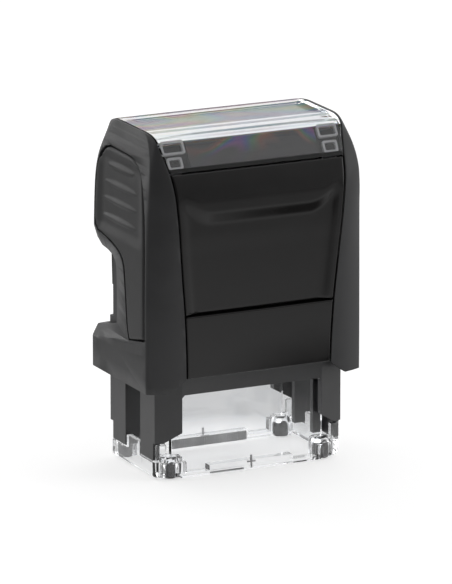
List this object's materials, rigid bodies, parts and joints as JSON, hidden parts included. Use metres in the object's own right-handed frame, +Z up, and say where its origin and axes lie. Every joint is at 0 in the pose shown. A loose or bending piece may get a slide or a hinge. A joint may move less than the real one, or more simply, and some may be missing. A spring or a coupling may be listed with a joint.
{
  "type": "self-inking stamp",
  "caption": "Small self-inking hand stamp: a spring-loaded press handle over a black frame with a clear base, a text plate that flips from ink pad to paper, and a clear top window.",
  "frame": {"origin": "middle of the footprint, on the table the feet stand on", "axes": "+Z up along the stroke, +X across the width, -Y to the front face with the label strip"},
  "size_m": [0.0424, 0.0294, 0.0629],
  "materials": {
    "frame_black": "fine satin moulded ABS",
    "clear_base": "clear moulded styrene",
    "foot_rubber": "soft dark rubber",
    "shell_black": "fine spark-eroded satin",
    "grip_pad": "soft-touch matte",
    "panel_gloss": "polished black",
    "core_black": "satin moulded ABS",
    "card": "plain smooth card",
    "spring_steel": "drawn spring wire",
    "window_clear": "clear polished styrene",
    "plate_grey": "satin moulded",
    "cushion_foam": "closed-cell foam",
    "text_rubber": "blank laser rubber",
    "tray_black": "satin moulded ABS",
    "ink_felt": "inked felt"
  },
  "bodies": {
    "base": {"lower_frame": "frame_black", "clear_base": "clear_base", "foot_front_left": "foot_rubber", "foot_front_right": "foot_rubber", "foot_rear_left": "foot_rubber", "foot_rear_right": "foot_rubber"},
    "handle": {"right_shell": "shell_black", "left_shell": "shell_black", "right_grip_pad": "grip_pad", "left_grip_pad": "grip_pad", "front_panel": "panel_gloss", "label_strip": "panel_gloss", "rear_panel": "panel_gloss", "handle_core": "core_black", "imprint_card": "card", "right_slider": "core_black", "left_slider": "core_black", "return_spring": "spring_steel"},
    "window": {"top_window": "window_clear"},
    "text_plate": {"plate_holder": "plate_grey", "plate_cushion": "cushion_foam", "text_rubber": "text_rubber"},
    "cartridge": {"cartridge_tray": "tray_black", "ink_pad": "ink_felt"}
  },
  "joints": [
    {"name": "press", "type": "slide", "parent": "base", "child": "handle", "axis": [0, 0, -1], "range_m": [0, 0.015], "stiffness_N_per_m": 500, "springref_m": -0.012, "deforming": ["return_spring"]},
    {"name": "plate_turn", "type": "hinge", "parent": "handle", "child": "text_plate", "pos_m": [0, 0, 0.0192], "axis": [1, 0, 0], "range_deg": [0, 180]},
    {"name": "cartridge_slide", "type": "slide", "parent": "base", "child": "cartridge", "axis": [0, 1, 0], "range_m": [0, 0.02]},
    {"name": "window_lift", "type": "slide", "parent": "handle", "child": "window", "axis": [0, 0, 1], "range_m": [0, 0.01]}
  ],
  "couplings": [
    {"joint": "plate_turn", "follows": "press", "rad_per_m": 209.44}
  ]
}
